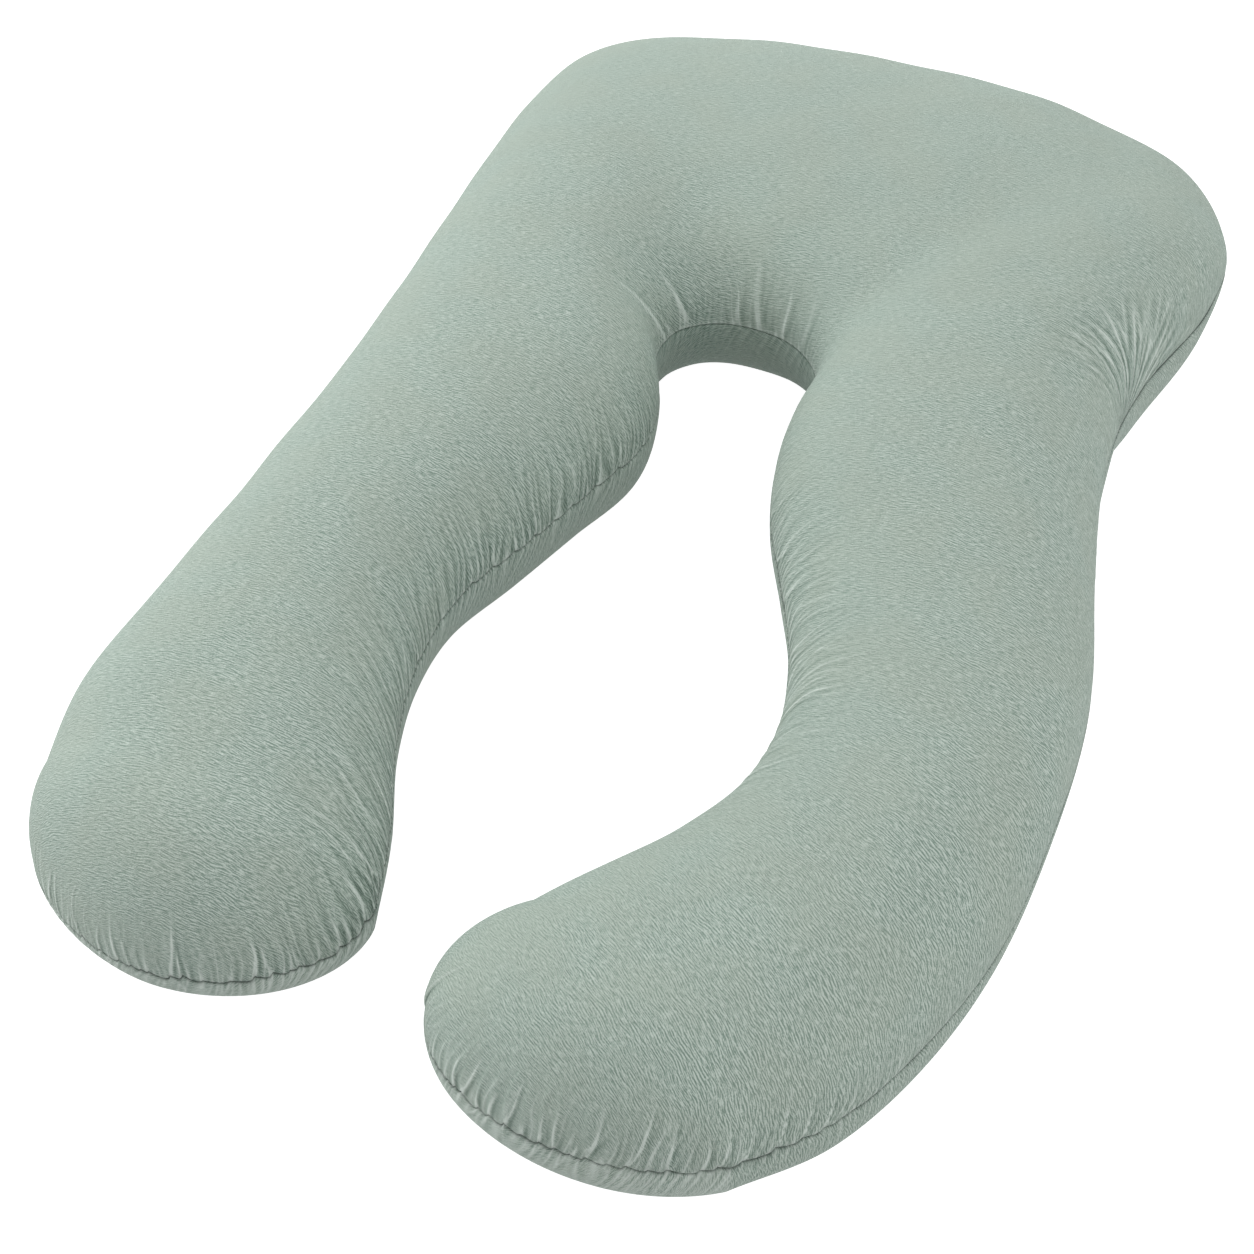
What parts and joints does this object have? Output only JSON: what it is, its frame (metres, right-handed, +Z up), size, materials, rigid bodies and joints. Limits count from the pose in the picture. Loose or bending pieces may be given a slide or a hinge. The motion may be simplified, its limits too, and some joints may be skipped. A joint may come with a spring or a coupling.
{
  "type": "pregnancy pillow",
  "caption": "U-shaped body pillow lying flat, a filled jersey cover with one sewn edge all round, gathered at its curled leg ends.",
  "frame": {"origin": "centre of the bounding box on the plane that the pillow lies on", "axes": "+X across the pillow to the more curled leg, +Y from the leg ends to the head, +Z up"},
  "size_m": [0.8214, 1.3538, 0.2054],
  "materials": {
    "jersey_cover": "matte heathered sage green jersey"
  },
  "bodies": {
    "root": {"pillow": "jersey_cover"}
  },
  "joints": []
}
